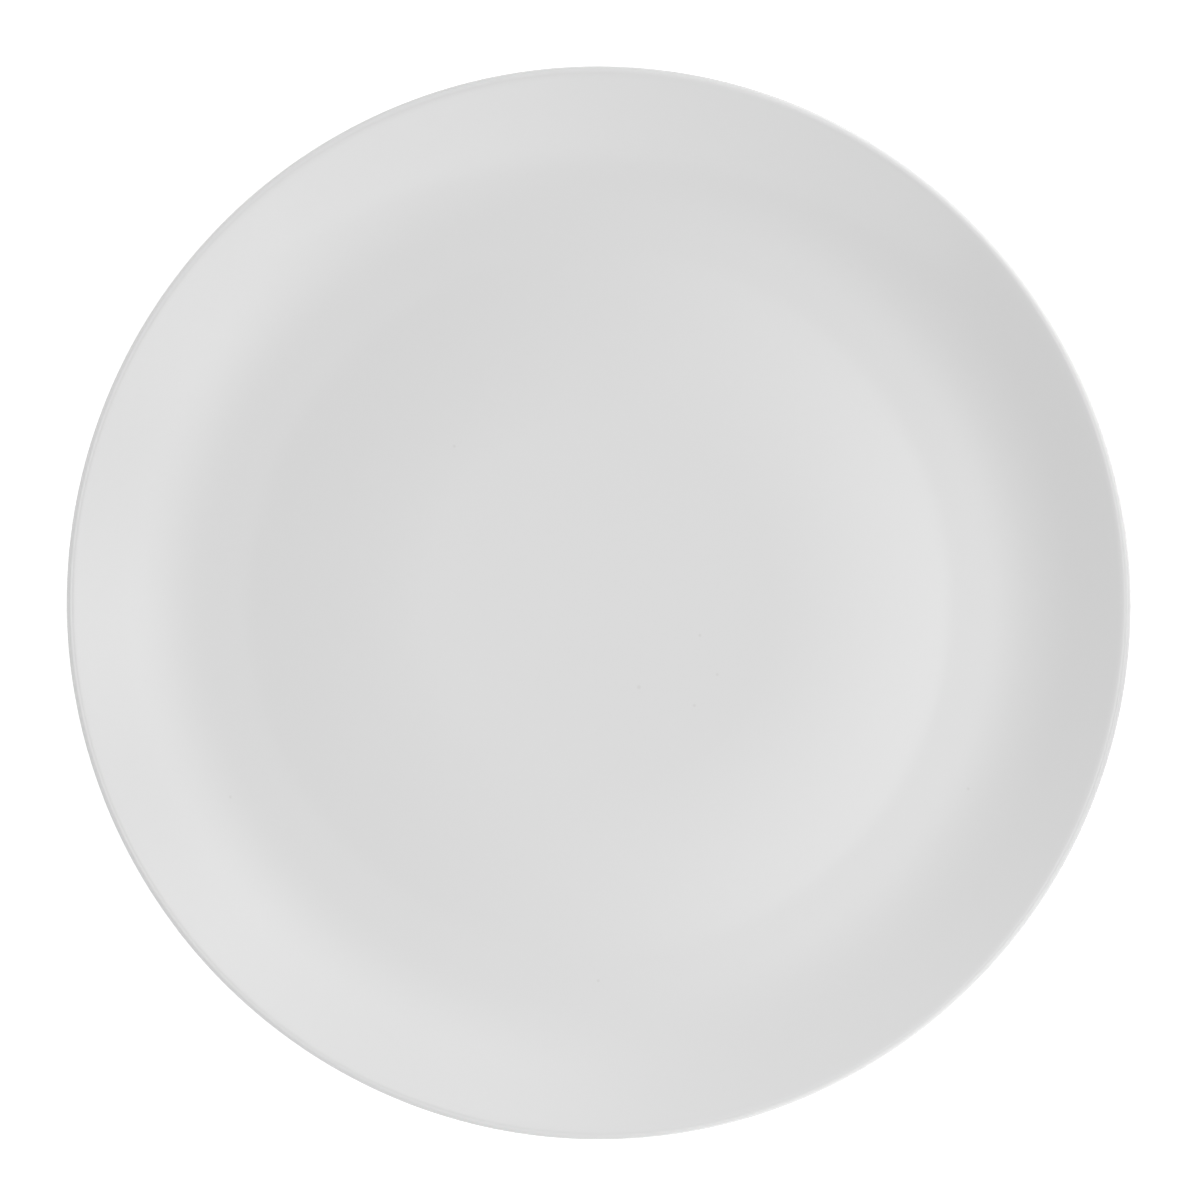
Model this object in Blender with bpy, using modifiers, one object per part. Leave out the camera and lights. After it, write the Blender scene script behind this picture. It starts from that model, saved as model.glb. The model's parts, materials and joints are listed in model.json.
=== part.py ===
"""A coupe dessert plate in glazed porcelain, turned from one profile.

The plate is a single fired piece: a level well that curves up to its edge, a wall that bends up into
a plain rim, a rolled lip, and a foot ring underneath. Z is up and the foot stands on Z = 0.
"""

import math

import bpy
from mathutils import Vector

# Driving dimensions, in metres and radians. The widths run inwards from the lip.
PLATE_DIAMETER = 0.210
RIM_WIDTH = 0.0108
BEND_WIDTH = 0.0167
WALL_WIDTH = 0.0090
WELL_EDGE_WIDTH = 0.0029
WELL_CURVE_WIDTH = 0.0343

WELL_SLOPE = math.radians(7.9)
WALL_SLOPE = math.radians(12.8)
RIM_SLOPE = math.radians(23.3)
LIP_SLOPE = math.radians(17.0)

LIP_THICKNESS = 0.0022
LIP_ROLL_WIDTH = 0.0011
BASE_THICKNESS = 0.0042

FOOT_HEIGHT = 0.0024
FOOT_SETBACK = 0.0031
FOOT_WIDTH = 0.0050
FOOT_DRAFT = 0.0006
FOOT_FILLET_RADIUS = 0.0012
FOOT_EDGE_RADIUS = 0.0008

# Smoothness of the turned solid
TURN_STEPS = 80
BEND_SEGMENTS = 6
EDGE_SEGMENTS = 2
LIP_SEGMENTS = 10
CORNER_SEGMENTS = 3
MERGE_DISTANCE = 0.00001

# Finish of the glaze
GLAZE_COLOUR = (0.74, 0.74, 0.74, 1.0)
GLAZE_ROUGHNESS = 0.12

# Radii and heights that follow from the sizes above
PLATE_RADIUS = PLATE_DIAMETER / 2
RIM_START = PLATE_RADIUS - RIM_WIDTH
BEND_START = RIM_START - BEND_WIDTH
WELL_RADIUS = BEND_START - WALL_WIDTH
FLAT_RADIUS = WELL_RADIUS - WELL_CURVE_WIDTH
LIP_RADIUS = LIP_THICKNESS / 2
LIP_START = PLATE_RADIUS - LIP_RADIUS * (1 + math.sin(LIP_SLOPE))
FOOT_OUTER_RADIUS = WELL_RADIUS - FOOT_SETBACK
FOOT_INNER_RADIUS = FOOT_OUTER_RADIUS - FOOT_WIDTH
WELL_HEIGHT = FOOT_HEIGHT + BASE_THICKNESS


def below(slope):
    """The direction straight down out of a face that climbs outwards at a slope."""
    return Vector((math.sin(slope), -math.cos(slope)))


def run_to(face, radius):
    """Carry the face on at its last slope until it reaches a radius."""
    start, slope = face[-1]
    end = Vector((radius, start.y + (radius - start.x) * math.tan(slope)))
    face.append((end, slope))


def bend_to(face, slope, radius, segments):
    """Carry the face on along an arc that has turned to a new slope when it reaches a radius."""
    start, start_slope = face[-1]
    arc_radius = (radius - start.x) / (math.sin(slope) - math.sin(start_slope))
    centre = start - arc_radius * below(start_slope)
    for step in range(1, segments + 1):
        turned = start_slope + (slope - start_slope) * step / segments
        face.append((centre + arc_radius * below(turned), turned))


def upper_face():
    """The face as points with their slopes, from the axis out to the start of the lip."""
    face = [(Vector((0.0, WELL_HEIGHT)), 0.0)]
    run_to(face, FLAT_RADIUS)
    bend_to(face, WELL_SLOPE, WELL_RADIUS - WELL_EDGE_WIDTH / 2, BEND_SEGMENTS)
    bend_to(face, WALL_SLOPE, WELL_RADIUS + WELL_EDGE_WIDTH / 2, EDGE_SEGMENTS)
    run_to(face, BEND_START)
    bend_to(face, RIM_SLOPE, RIM_START, BEND_SEGMENTS)
    run_to(face, LIP_START - LIP_ROLL_WIDTH)
    bend_to(face, LIP_SLOPE, LIP_START, EDGE_SEGMENTS)
    return face


def lip(lip_start):
    """A half round from the end of the face to the start of the underside."""
    centre = lip_start + LIP_RADIUS * below(LIP_SLOPE)
    points = []
    for step in range(1, LIP_SEGMENTS + 1):
        turn = math.pi / 2 + LIP_SLOPE - math.pi * step / LIP_SEGMENTS
        points.append(centre + LIP_RADIUS * Vector((math.cos(turn), math.sin(turn))))
    return points


def underside(face):
    """The outside under the face, from the axis outwards; it thickens from the lip to the well's edge."""
    points = []
    for point, slope in face:
        share = min((LIP_START - point.x) / (LIP_START - WELL_RADIUS), 1.0)
        thickness = LIP_THICKNESS + (BASE_THICKNESS - LIP_THICKNESS) * share
        points.append(point + thickness * below(slope))
    return points


def point_at(points, radius):
    """The point where a line of points that runs outwards reaches a radius."""
    inside = [point for point in points if point.x < radius][-1]
    outside = [point for point in points if point.x >= radius][0]
    return inside.lerp(outside, (radius - inside.x) / (outside.x - inside.x))


def rounded_corner(before, corner, after, radius):
    """Points on the arc that rounds a corner, kept within the two edges that meet there."""
    to_before = (before - corner).normalized()
    to_after = (after - corner).normalized()
    half_angle = to_before.angle(to_after) / 2
    room = min((before - corner).length, (after - corner).length) / 2
    reach = min(radius / math.tan(half_angle), room)
    centre = corner + (to_before + to_after).normalized() * reach / math.cos(half_angle)
    first = corner + to_before * reach - centre
    last = corner + to_after * reach - centre
    sweep = first.angle(last)
    points = []
    for step in range(CORNER_SEGMENTS + 1):
        turned = sweep * step / CORNER_SEGMENTS
        spoke = first * math.sin(sweep - turned) + last * math.sin(turned)
        points.append(centre + spoke / math.sin(sweep))
    return points


def foot_ring(before, outer_root, inner_root, after):
    """The foot ring from its outer root to its inner one, with fillets and a flat standing face."""
    corners = [
        before,
        outer_root,
        Vector((FOOT_OUTER_RADIUS - FOOT_DRAFT, 0.0)),
        Vector((FOOT_INNER_RADIUS + FOOT_DRAFT, 0.0)),
        inner_root,
        after,
    ]
    radii = [FOOT_FILLET_RADIUS, FOOT_EDGE_RADIUS, FOOT_EDGE_RADIUS, FOOT_FILLET_RADIUS]
    points = []
    for index, radius in enumerate(radii, start=1):
        points += rounded_corner(corners[index - 1], corners[index], corners[index + 1], radius)
    return points


def plate_profile():
    """The whole half section, from the axis on top, out over the lip, and back to the axis underneath."""
    face = upper_face()
    under = underside(face)
    outer_root = point_at(under, FOOT_OUTER_RADIUS)
    inner_root = point_at(under, FOOT_INNER_RADIUS)
    outside = [point for point in reversed(under[:-1]) if point.x > FOOT_OUTER_RADIUS]
    inside = [point for point in reversed(under) if point.x < FOOT_INNER_RADIUS]
    points = [point for point, slope in face]
    points += lip(points[-1])
    points += outside
    points += foot_ring(outside[-1], outer_root, inner_root, inside[0])
    points += inside
    return points


def glaze_material():
    """Clear glossy glaze over a white porcelain body."""
    material = bpy.data.materials.new("white_glaze")
    material.use_nodes = True
    shader = material.node_tree.nodes["Principled BSDF"]
    shader.inputs["Base Color"].default_value = GLAZE_COLOUR
    shader.inputs["Roughness"].default_value = GLAZE_ROUGHNESS
    shader.inputs["Metallic"].default_value = 0.0
    return material


def turned_object(name, points, material):
    """An object that turns a profile of radii and heights once around the Z axis."""
    mesh = bpy.data.meshes.new(name)
    vertices = [(point.x, 0.0, point.y) for point in points]
    edges = [(index, index + 1) for index in range(len(points) - 1)]
    mesh.from_pydata(vertices, edges, [])
    mesh.materials.append(material)
    turned = bpy.data.objects.new(name, mesh)
    screw = turned.modifiers.new("turn", "SCREW")
    screw.axis = "Z"
    screw.angle = math.tau
    screw.steps = TURN_STEPS
    screw.render_steps = TURN_STEPS
    screw.use_smooth_shade = True
    screw.use_merge_vertices = True
    screw.merge_threshold = MERGE_DISTANCE
    return turned


for leftover in list(bpy.data.objects):
    bpy.data.objects.remove(leftover, do_unlink=True)

dessert_plate = bpy.data.collections.new("dessert_plate")
bpy.context.scene.collection.children.link(dessert_plate)
dessert_plate.objects.link(turned_object("plate", plate_profile(), glaze_material()))
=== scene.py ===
import json
import math

import bmesh
import bpy
from mathutils import Matrix, Vector


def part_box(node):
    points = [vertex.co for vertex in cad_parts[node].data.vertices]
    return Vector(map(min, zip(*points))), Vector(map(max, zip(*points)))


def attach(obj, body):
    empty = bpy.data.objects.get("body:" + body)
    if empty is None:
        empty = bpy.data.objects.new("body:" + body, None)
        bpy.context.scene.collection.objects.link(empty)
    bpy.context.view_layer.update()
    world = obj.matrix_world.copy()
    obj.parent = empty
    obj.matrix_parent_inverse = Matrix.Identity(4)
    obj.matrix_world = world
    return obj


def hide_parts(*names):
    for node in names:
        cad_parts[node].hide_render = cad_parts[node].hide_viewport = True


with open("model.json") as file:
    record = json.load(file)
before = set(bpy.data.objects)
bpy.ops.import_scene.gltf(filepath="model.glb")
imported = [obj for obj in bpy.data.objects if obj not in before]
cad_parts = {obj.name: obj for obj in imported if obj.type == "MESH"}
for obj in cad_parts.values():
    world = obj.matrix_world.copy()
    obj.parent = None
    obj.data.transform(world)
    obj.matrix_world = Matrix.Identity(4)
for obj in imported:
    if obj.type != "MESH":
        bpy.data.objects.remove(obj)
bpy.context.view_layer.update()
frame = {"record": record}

# Plate
# One piece of hard white porcelain, pressed to this section by a turning roller head and dipped in a
# clear glossy glaze. The foot's standing face is wiped bare, and the kiln leaves the rim out of round.

mounts = {mount["name"]: Vector(mount["pos_m"]) for mount in frame["record"]["mounts"]}
plate_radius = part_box("plate")[1].x
well_height = mounts["well"].z

# The face, with widths that run inwards from the lip
rim_width = 0.0108
bend_width = 0.0167
wall_width = 0.0090
well_edge_width = 0.0029
well_curve_width = 0.0343
rim_start = plate_radius - rim_width
bend_start = rim_start - bend_width
well_edge = bend_start - wall_width
flat_radius = well_edge - well_curve_width
well_slope = math.radians(7.9)
wall_slope = math.radians(12.8)
rim_slope = math.radians(23.3)

lip_radius = 0.0011
lip_slope = math.radians(17.0)
lip_start = plate_radius - lip_radius * (1 + math.sin(lip_slope))
lip_roll_width = 0.0011

# The underside, which is a little steeper than the face because the plate thickens inwards
base_thickness = 0.0042
under_roll_width = 0.0013
under_rim_slope = math.radians(26.3)
under_wall_slope = math.radians(16.0)
under_rim_start = rim_start + 0.0011
under_bend_start = bend_start + 0.0008
under_wall_start = well_edge + 0.0024
under_edge_start = well_edge - 0.0009

foot_width = 0.0050
foot_draft = 0.0006
foot_fillet = 0.0012
foot_edge = 0.0007
bare_height = 0.0009
glaze_thickness = 0.00012
foot_outer = mounts["foot"].x + foot_width / 2
foot_inner = mounts["foot"].x - foot_width / 2
outer_side = foot_outer - foot_draft
inner_side = foot_inner + foot_draft

turn_steps = 288
bend_steps = 16
lip_steps = 24
rounding_steps = 6
merge_distance = 0.000002
out_of_round = 0.0084
long_axis = math.radians(94)

plate_form = bmesh.new()


class SectionPen:
    """Draws half of the plate's section in the XZ plane, outwards from the axis or back towards it."""

    def __init__(self, height):
        self.tip = plate_form.verts.new((0.0, 0.0, height))
        self.slope = 0.0

    def line_to(self, radius, height):
        """A straight line to a new tip."""
        move = Vector((radius, 0.0, height)) - self.tip.co
        made = bmesh.ops.extrude_vert_indiv(plate_form, verts=[self.tip])
        bmesh.ops.translate(plate_form, verts=made["verts"], vec=move)
        self.tip = made["verts"][0]

    def turn(self, centre, angle, steps):
        """A round line to a new tip."""
        made = bmesh.ops.spin(plate_form, geom=[self.tip], cent=centre, axis=(0, 1, 0),
                              angle=angle, steps=steps)
        self.tip = [part for part in made["geom_last"] if isinstance(part, bmesh.types.BMVert)][0]

    def below(self, distance):
        """The point at a distance straight under the drawn face."""
        return self.tip.co + distance * Vector((math.sin(self.slope), 0.0, -math.cos(self.slope)))

    def run_to(self, radius):
        """Carry on at the same slope until a radius."""
        self.line_to(radius, self.tip.co.z + (radius - self.tip.co.x) * math.tan(self.slope))

    def bend_to(self, slope, radius):
        """Carry on along an arc that has turned to a new slope at a radius."""
        arc_radius = (radius - self.tip.co.x) / (math.sin(slope) - math.sin(self.slope))
        self.turn(self.below(-arc_radius), self.slope - slope, bend_steps)
        self.slope = slope


def under_slope(radius):
    """The slope at a radius under the well, whose underside keeps the same distance from its face."""
    face_arc = (well_edge - well_edge_width / 2 - flat_radius) / math.sin(well_slope)
    return math.asin((radius - flat_radius) / (face_arc + base_thickness))


# The face and the lip, then the underside of the rim and wall as far as the foot
pen = SectionPen(well_height)
pen.run_to(flat_radius)
pen.bend_to(well_slope, well_edge - well_edge_width / 2)
pen.bend_to(wall_slope, well_edge + well_edge_width / 2)
pen.run_to(bend_start)
pen.bend_to(rim_slope, rim_start)
pen.run_to(lip_start - lip_roll_width)
pen.bend_to(lip_slope, lip_start)
pen.turn(pen.below(lip_radius), math.pi, lip_steps)
pen.bend_to(under_rim_slope, pen.tip.co.x - under_roll_width)
pen.run_to(under_rim_start)
pen.bend_to(under_wall_slope, under_bend_start)
pen.run_to(under_wall_start)
pen.bend_to(well_slope, under_edge_start)
pen.bend_to(under_slope(foot_outer), foot_outer)
outer_root = pen.tip.co.copy()

# The foot's outer side, standing face and inner side; the glaze ends in a small step on both sides
pen.line_to(outer_side, bare_height)
pen.line_to(outer_side - glaze_thickness, bare_height - glaze_thickness)
pen.line_to(outer_side - glaze_thickness, 0.0)
outer_edge = pen.tip.co.copy()
pen.line_to(inner_side + glaze_thickness, 0.0)
inner_edge = pen.tip.co.copy()
pen.line_to(inner_side + glaze_thickness, bare_height - glaze_thickness)
pen.line_to(inner_side, bare_height)
foot_end = pen.tip

# The recess under the well, drawn outwards to meet the foot
pen = SectionPen(well_height - base_thickness)
pen.run_to(flat_radius)
pen.bend_to(under_slope(foot_inner), foot_inner)
inner_root = pen.tip.co.copy()
bmesh.ops.contextual_create(plate_form, geom=[foot_end, pen.tip])

# The section turned once round the axis, with its doubles at the axis merged
drawn = plate_form.verts[:] + plate_form.edges[:]
bmesh.ops.spin(plate_form, geom=drawn, cent=(0, 0, 0), axis=(0, 0, 1), angle=math.tau, steps=turn_steps,
               use_merge=True)
bmesh.ops.remove_doubles(plate_form, verts=plate_form.verts, dist=merge_distance)
bmesh.ops.recalc_face_normals(plate_form, faces=plate_form.faces)


def ring_at(corner):
    """The edges that run round the plate through a corner of its section."""
    close = 0.00002
    on_ring = {
        vert for vert in plate_form.verts
        if abs(vert.co.xy.length - corner.x) < close and abs(vert.co.z - corner.z) < close
    }
    return [edge for edge in plate_form.edges if on_ring.issuperset(edge.verts)]


for corner, rounding in (
    (outer_root, foot_fillet), (outer_edge, foot_edge), (inner_edge, foot_edge), (inner_root, foot_fillet)
):
    bmesh.ops.bevel(plate_form, geom=ring_at(corner), offset=rounding, offset_type="OFFSET",
                    segments=rounding_steps, profile=0.5, affect="EDGES", material=-1)

# The rim's slight oval, which fades out towards the well
for vert in plate_form.verts:
    across = vert.co.xy
    share = max(across.length - well_edge, 0.0) / (plate_radius - well_edge)
    bearing = math.atan2(across.y, across.x) - long_axis
    vert.co.xy = across * (1 - out_of_round * share * math.sin(bearing) ** 2)

plate_mesh = bpy.data.meshes.new("porcelain_plate")
plate_form.to_mesh(plate_mesh)
plate_form.free()
plate_mesh.shade_smooth()
plate = bpy.data.objects.new("porcelain_plate", plate_mesh)
bpy.context.scene.collection.objects.link(plate)
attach(plate, "root")
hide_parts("plate")


class Wire:
    """A socket of a node tree. Sums on wires add Math nodes, and node() adds any other node."""

    def __init__(self, tree, socket=None):
        self.tree = tree
        self.socket = socket

    def node(self, kind, settings, inputs, output=0):
        """Add a node: its settings first, then a value or a link for each input named."""
        made = self.tree.nodes.new(kind)
        for name, value in settings.items():
            setattr(made, name, value)
        for name, value in inputs.items():
            if isinstance(value, Wire):
                self.tree.links.new(value.socket, made.inputs[name])
            else:
                made.inputs[name].default_value = value
        return Wire(self.tree, made.outputs[output])

    def math(self, operation, *values):
        """A Math node on wires and numbers."""
        return self.node("ShaderNodeMath", {"operation": operation}, dict(enumerate(values)))

    def __add__(self, other):
        return self.math("ADD", self, other)

    def __sub__(self, other):
        return self.math("SUBTRACT", self, other)

    def __rsub__(self, other):
        return self.math("SUBTRACT", other, self)

    def __mul__(self, other):
        return self.math("MULTIPLY", self, other)

    __radd__ = __add__
    __rmul__ = __mul__

    def fade(self, start, end):
        """0 at start and 1 at end, with soft shoulders."""
        limits = {"Value": self, "From Min": start, "From Max": end}
        return self.node("ShaderNodeMapRange", {"interpolation_type": "SMOOTHSTEP"}, limits)

    def mix(self, low, high):
        """The colour low where this wire is 0 and high where it is 1."""
        # A Mix node's two colours are its inputs 6 and 7, and the mixed one is its output 2
        return self.node("ShaderNodeMix", {"data_type": "RGBA"}, {0: self, 6: low, 7: high}, 2)

    def vector(self, operation, other, output="Vector"):
        """A Vector Math node on this vector and another."""
        return self.node("ShaderNodeVectorMath", {"operation": operation}, {0: self, 1: other}, output)

    def noise(self, size, detail):
        """Soft noise from 0 to 1 on this vector, with features of a size in metres."""
        return self.node("ShaderNodeTexNoise", {}, {"Vector": self, "Scale": 1 / size, "Detail": detail})


glaze_colour = (0.742, 0.742, 0.742, 1.0)
glaze_shade = (0.734, 0.734, 0.734, 1.0)
cloud_size = 0.035
glaze_ior = 1.62
glaze_roughness = 0.09
sheen_size = 0.012
sheen_change = 0.04
ripple_size = 0.009
ripple_depth = 0.000006
ring_spacing = 0.0065
ring_depth = 0.0000012

bare_colour = (0.70, 0.69, 0.66, 1.0)
bare_roughening = 0.5
bare_end = bare_height - 0.00006
glaze_start = bare_height + 0.00002
wander_size = 0.004
wander_height = 0.00012
grain_size = 0.00035
grain_depth = 0.00005

pool_colour = (0.68, 0.70, 0.71, 1.0)
pool_strength = 0.6
pool_core = 0.0004
pool_reach = 0.0022

speck_colour = (0.52, 0.51, 0.49, 1.0)
speck_strength = 0.24
speck_core = 0.2
specks = (
    # place to the right and to the back, radius
    (0.0079, -0.0166, 0.0006), (0.0199, -0.0064, 0.00045), (0.0188, -0.0202, 0.00045),
    (0.0233, -0.0141, 0.00045), (-0.0284, 0.0308, 0.00045), (-0.0001, -0.0742, 0.00045),
    (0.0725, -0.0365, 0.00045), (-0.0723, -0.0381, 0.00045),
)

glaze = bpy.data.materials.new("white_glaze_fired")
glaze.use_nodes = True
glaze_shader = glaze.node_tree.nodes["Principled BSDF"]
place = Wire(glaze.node_tree).node("ShaderNodeTexCoord", {}, {}, "Object")
height = place.node("ShaderNodeSeparateXYZ", {}, {"Vector": place}, "Z")
flat_place = place.vector("MULTIPLY", (1.0, 1.0, 0.0))
radius = flat_place.vector("DISTANCE", (0.0, 0.0, 0.0), "Value")
section_place = place.node("ShaderNodeCombineXYZ", {}, {"X": radius, "Y": height})

# Bare clay on the foot below the wiped line, which wanders a little
wandering_height = height + place.noise(wander_size, detail=2.0) * wander_height
bare = 1 - wandering_height.fade(bare_end, glaze_start)

# Glaze that ran together in the foot's two corners
pooled = 0
for corner in (outer_root, inner_root):
    away = section_place.vector("DISTANCE", (corner.x, corner.z, 0.0), "Value")
    pooled = pooled + (1 - away.fade(pool_core, pool_reach))

# Iron specks under the glaze
speckled = 0
for x, y, size in specks:
    away = flat_place.vector("DISTANCE", (x, y, 0.0), "Value")
    speckled = speckled + (1 - away.fade(speck_core * size, size))

tone = place.noise(cloud_size, detail=3.0).mix(glaze_colour, glaze_shade)
tone = (pooled * pool_strength).mix(tone, pool_colour)
tone = (speckled * speck_strength).mix(tone, speck_colour)
tone = bare.mix(tone, bare_colour)

sheen = place.noise(sheen_size, detail=2.0) * sheen_change + glaze_roughness
roughness = sheen + bare * bare_roughening

# Soft ripples in the glaze, faint finishing rings round the axis, and the bare clay's grain
ripple = place.noise(ripple_size, detail=1.0) * ripple_depth
rings = radius.math("SINE", radius * (math.tau / ring_spacing)) * ring_depth
grain = place.noise(grain_size, detail=3.0) * grain_depth * bare
bumps = ripple + rings + grain
relief = place.node("ShaderNodeBump", {}, {"Strength": 1.0, "Distance": 1.0, "Height": bumps})

for name, wire in (("Base Color", tone), ("Roughness", roughness), ("Normal", relief)):
    glaze.node_tree.links.new(wire.socket, glaze_shader.inputs[name])
glaze_shader.inputs["IOR"].default_value = glaze_ior
plate_mesh.materials.append(glaze)

# Floor
# A broad sheet of matt white paper under the plate. It looks white to the eye and in reflections,
# lights the plate only as pale paper would, and keeps the plate's shadow.

floor_radius = 4.0
floor_sides = 64
paper_colour = (0.8, 0.8, 0.8, 1.0)
paper_roughness = 0.9
paper_glow = 0.54

floor_form = bmesh.new()
bmesh.ops.create_circle(floor_form, cap_ends=True, radius=floor_radius, segments=floor_sides)
floor_mesh = bpy.data.meshes.new("floor")
floor_form.to_mesh(floor_mesh)
floor_form.free()
floor = bpy.data.objects.new("floor", floor_mesh)
bpy.context.scene.collection.objects.link(floor)


def seen(tree):
    """1 for what the eye sees, straight, mirrored or through glass, and 0 for what lights the plate."""
    rays = ("Is Camera Ray", "Is Glossy Ray", "Is Transmission Ray")
    return sum(Wire(tree).node("ShaderNodeLightPath", {}, {}, ray) for ray in rays)


paper = bpy.data.materials.new("white_paper")
paper.use_nodes = True
paper_shader = paper.node_tree.nodes["Principled BSDF"]
paper_shader.inputs["Base Color"].default_value = paper_colour
paper_shader.inputs["Roughness"].default_value = paper_roughness
paper_shader.inputs["Specular IOR Level"].default_value = 0.0
paper_shader.inputs["Emission Strength"].default_value = paper_glow
paper.node_tree.links.new(seen(paper.node_tree).socket, paper_shader.inputs["Emission Color"])
floor_mesh.materials.append(paper)

# Studio light
# Soft boxes round the plate, each a patch of sky that fades from its middle: three overhead, a broad
# bank on the right, and two low fills. A long panel stands near the plate's lower side, and two low
# strips on the right light the outside of the lip.

# Each box: tilt from straight up, bearing from the plate's right, sharpness, strength
overhead_left = (18, 188, 29, 1.7)
overhead_back = (18, 131, 31, 1.1)
overhead_front = (21, 244, 40, 0.6)
back_fill = (70, 120, 6, 1.45)
front_fill = (56, 250, 11, 1.0)

bank_tilt = 44
bank_bearing = 3
bank_spacing = 36
bank_sharpness = 33
bank_strength = 2.03
bank_falloff = 0.7

# How far up the sky the backdrop starts to fade and ends, with 1 straight up
backdrop_top_start = 0.25
backdrop_top_end = 0.45

sky = bpy.data.worlds.new("studio")
bpy.context.scene.world = sky
sky.use_nodes = True
sky_shader = sky.node_tree.nodes["Background"]
aim = Wire(sky.node_tree).node("ShaderNodeTexCoord", {}, {}, "Generated")
rise = aim.node("ShaderNodeSeparateXYZ", {}, {"Vector": aim}, "Z")


def soft_box(tilt, bearing, sharpness, strength):
    """A patch of light in the sky, at a tilt from straight up and a bearing from the plate's right."""
    turn = Matrix.Rotation(math.radians(bearing), 3, "Z") @ Matrix.Rotation(math.radians(tilt), 3, "Y")
    off_middle = aim.vector("DOT_PRODUCT", turn @ Vector((0.0, 0.0, 1.0)), "Value") - 1
    return aim.math("EXPONENT", off_middle * sharpness) * strength


light = 0
for box in (overhead_left, overhead_back, overhead_front, back_fill, front_fill):
    light = light + soft_box(*box)

# The bank is five boxes side by side that give the same light each, the outer ones wider and dimmer
for box_number in (-2, -1, 0, 1, 2):
    aside = box_number * bank_spacing
    fall = math.cos(math.radians(bank_falloff * aside))
    light = light + soft_box(bank_tilt, bank_bearing + aside, bank_sharpness * fall, bank_strength * fall)

# A white backdrop stands all round, low down, for the eye and for reflections
backdrop = seen(sky.node_tree) * (1 - rise.fade(backdrop_top_start, backdrop_top_end))
light = light * (1 - backdrop) + backdrop
sky.node_tree.links.new(light.socket, sky_shader.inputs["Color"])


def flat_lamp(name, width, depth, radiance):
    """An evenly bright rectangle that lights the plate and that the camera doesn't see."""
    lamp_data = bpy.data.lights.new(name, "AREA")
    lamp_data.shape = "RECTANGLE"
    lamp_data.size = width
    lamp_data.size_y = depth
    lamp_data.energy = radiance * math.pi * width * depth
    lamp = bpy.data.objects.new(name, lamp_data)
    lamp.visible_camera = False
    bpy.context.scene.collection.objects.link(lamp)
    return lamp


panel_width = 3.0
panel_depth = 2.0
panel_height = 1.0
panel_near_edge = 0.61
panel_radiance = 0.36
panel = flat_lamp("lower_panel", panel_width, panel_depth, panel_radiance)
panel.location = (0.0, -panel_near_edge - panel_depth / 2, panel_height)

# The strips stay out of the glaze's reflections, where they would show as hard white bands
strip_length = 0.17
strip_height = 0.034
strip_lift = 0.001
strip_distance = 0.145
side_strips = (
    # bearing from the right, radiance
    (36, 1.95),
    (-52, 1.15),
)
for bearing, radiance in side_strips:
    strip = flat_lamp("side_strip", strip_height, strip_length, radiance)
    around = Matrix.Rotation(math.radians(bearing), 4, "Z")
    strip.location = around @ Vector((strip_distance, 0.0, strip_height / 2 + strip_lift))
    strip.rotation_euler = (0.0, math.radians(90), math.radians(bearing))
    strip.visible_glossy = False

# Camera
# Straight above the plate, from far enough that the rim and the well are seen at nearly one scale.
# The plate's centre and half of its long axis are given in the picture's pixels.

frame_pixels = 1200
long_radius_pixels = 536.65
centre_pixel = Vector((598.75, 602.85))
camera_distance = 2.5
lip_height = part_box("plate")[1].z - lip_radius

pixel = plate_radius / long_radius_pixels
camera_data = bpy.data.cameras.new("camera")
camera_data.sensor_width = 36.0
camera_data.lens = camera_data.sensor_width * camera_distance / (frame_pixels * pixel)
camera = bpy.data.objects.new("camera", camera_data)
camera.location = (
    (frame_pixels / 2 - centre_pixel.x) * pixel,
    (centre_pixel.y - frame_pixels / 2) * pixel,
    lip_height + camera_distance,
)
bpy.context.scene.collection.objects.link(camera)
bpy.context.scene.camera = camera
bpy.context.scene.view_settings.view_transform = "Standard"
